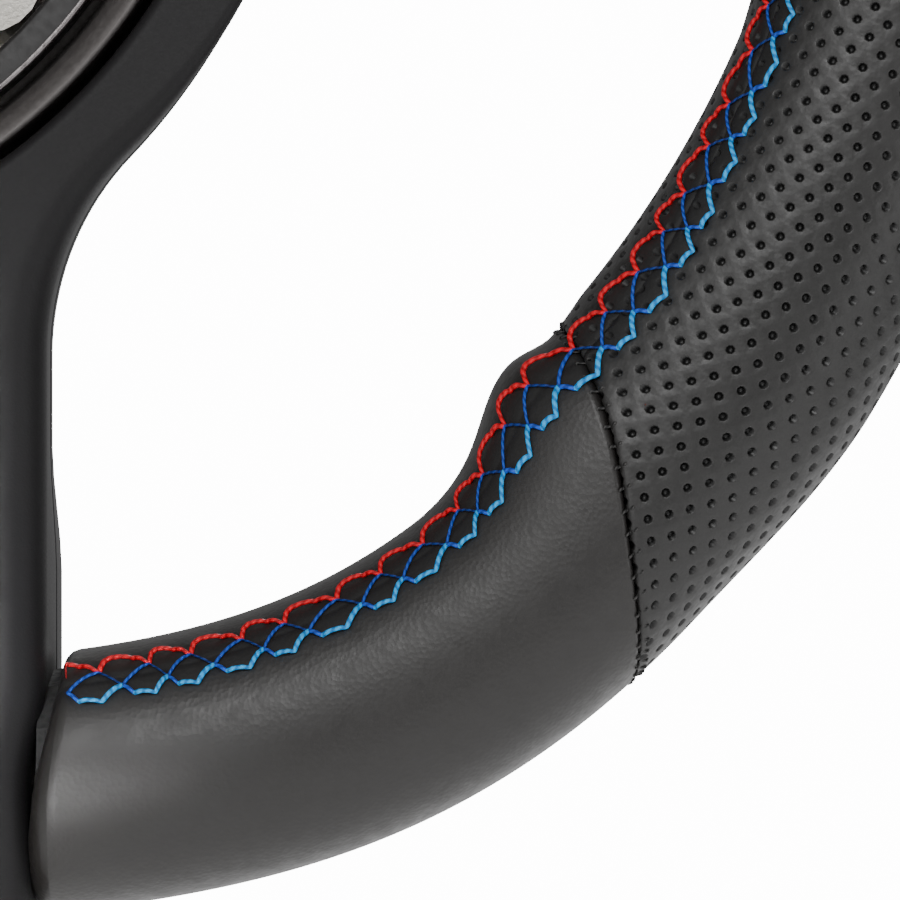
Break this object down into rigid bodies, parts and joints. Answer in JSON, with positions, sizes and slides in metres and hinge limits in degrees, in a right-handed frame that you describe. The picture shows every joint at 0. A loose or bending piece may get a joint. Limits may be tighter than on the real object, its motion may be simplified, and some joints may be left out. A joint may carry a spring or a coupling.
{
  "type": "steering wheel",
  "caption": "Flat-bottomed leather sports steering wheel with perforated grips, horn button and a ball-lock quick release hub whose flange bolts to the column.",
  "frame": {"origin": "centre of the back face of the flange that bolts to the steering column", "axes": "+Y along the column, away from the driver; +Z towards 12 o'clock; +X towards 3 o'clock"},
  "size_m": [0.3736, 0.0825, 0.3525],
  "materials": {
    "soft_touch_plastic": "soft-touch matt black moulding",
    "smooth_leather": "smooth black leather, satin",
    "perforated_leather": "black leather perforated on a square lattice",
    "moulded_foam": "self-skinned polyurethane foam",
    "cast_aluminium": "die cast, lightly blasted",
    "satin_grey": "satin grey paint",
    "black_plastic": "fine-grained black moulding",
    "black_anodised": "turned, black anodised",
    "machined_aluminium": "turned, clear",
    "zinc_steel": "bright zinc plate",
    "spring_steel": "drawn wire",
    "ball_steel": "ground and polished bearing steel",
    "contact_brass": "bare brass",
    "nylon": "natural nylon"
  },
  "bodies": {
    "column": {"column_spigot": "machined_aluminium", "contact_ring_insulator": "nylon", "contact_disc": "contact_brass"},
    "wheel": {"armature": "cast_aluminium", "boss_screw_1": "zinc_steel", "boss_screw_2": "zinc_steel", "boss_screw_3": "zinc_steel", "boss_screw_4": "zinc_steel", "collar_retaining_ring": "spring_steel", "collar_spring": "spring_steel", "contact_pin_insulator": "nylon", "contact_pin_spring": "spring_steel", "coupler_body": "black_anodised", "coupler_screw_1": "zinc_steel", "coupler_screw_2": "zinc_steel", "coupler_screw_3": "zinc_steel", "coupler_screw_4": "zinc_steel", "coupler_screw_5": "zinc_steel", "coupler_screw_6": "zinc_steel", "front_cover": "soft_touch_plastic", "horn_button_housing": "black_plastic", "horn_contact_plate": "contact_brass", "horn_spring": "spring_steel", "hub_bezel": "satin_grey", "hub_trim_ring": "black_plastic", "leather_grip_left": "perforated_leather", "leather_grip_right": "perforated_leather", "leather_lower_left": "smooth_leather", "leather_lower_right": "smooth_leather", "leather_top": "smooth_leather", "rear_cover": "soft_touch_plastic", "rear_cover_screw_1": "zinc_steel", "rear_cover_screw_2": "zinc_steel", "rear_cover_screw_3": "zinc_steel", "rear_cover_screw_4": "zinc_steel", "rim_foam": "moulded_foam"},
    "lock_collar": {"lock_collar": "black_anodised"},
    "horn_button": {"horn_button_cap": "black_plastic", "horn_contact_ring": "contact_brass"},
    "contact_pin": {"contact_pin": "contact_brass"},
    "lock_ball_1": {"lock_ball_1": "ball_steel"},
    "lock_ball_2": {"lock_ball_2": "ball_steel"},
    "lock_ball_3": {"lock_ball_3": "ball_steel"},
    "lock_ball_4": {"lock_ball_4": "ball_steel"},
    "lock_ball_5": {"lock_ball_5": "ball_steel"},
    "lock_ball_6": {"lock_ball_6": "ball_steel"}
  },
  "joints": [
    {"name": "wheel_release", "type": "slide", "parent": "column", "child": "wheel", "axis": [0, -1, 0], "range_m": [0, 0.035]},
    {"name": "collar_slide", "type": "slide", "parent": "wheel", "child": "lock_collar", "axis": [0, 1, 0], "range_m": [0, 0.006], "deforming": ["collar_spring"]},
    {"name": "horn_press", "type": "slide", "parent": "wheel", "child": "horn_button", "axis": [0, 1, 0], "range_m": [0, 0.0025], "stiffness_N_per_m": 900, "springref_m": -0.003, "deforming": ["horn_spring"]},
    {"name": "contact_pin_press", "type": "slide", "parent": "wheel", "child": "contact_pin", "axis": [0, -1, 0], "range_m": [0, 0.0015], "stiffness_N_per_m": 300, "springref_m": -0.001, "deforming": ["contact_pin_spring"]},
    {"name": "lock_ball_1_slide", "type": "slide", "parent": "wheel", "child": "lock_ball_1", "axis": [-1, 0, 0], "range_m": [0, 0.0012]},
    {"name": "lock_ball_2_slide", "type": "slide", "parent": "wheel", "child": "lock_ball_2", "axis": [-0.5, 0, -0.866], "range_m": [0, 0.0012]},
    {"name": "lock_ball_3_slide", "type": "slide", "parent": "wheel", "child": "lock_ball_3", "axis": [0.5, 0, -0.866], "range_m": [0, 0.0012]},
    {"name": "lock_ball_4_slide", "type": "slide", "parent": "wheel", "child": "lock_ball_4", "axis": [1, 0, 0], "range_m": [0, 0.0012]},
    {"name": "lock_ball_5_slide", "type": "slide", "parent": "wheel", "child": "lock_ball_5", "axis": [0.5, 0, 0.866], "range_m": [0, 0.0012]},
    {"name": "lock_ball_6_slide", "type": "slide", "parent": "wheel", "child": "lock_ball_6", "axis": [-0.5, 0, 0.866], "range_m": [0, 0.0012]}
  ],
  "couplings": [
    {"joint": "lock_ball_1_slide", "follows": "collar_slide", "ratio": 0.2},
    {"joint": "lock_ball_2_slide", "follows": "collar_slide", "ratio": 0.2},
    {"joint": "lock_ball_3_slide", "follows": "collar_slide", "ratio": 0.2},
    {"joint": "lock_ball_4_slide", "follows": "collar_slide", "ratio": 0.2},
    {"joint": "lock_ball_5_slide", "follows": "collar_slide", "ratio": 0.2},
    {"joint": "lock_ball_6_slide", "follows": "collar_slide", "ratio": 0.2}
  ]
}
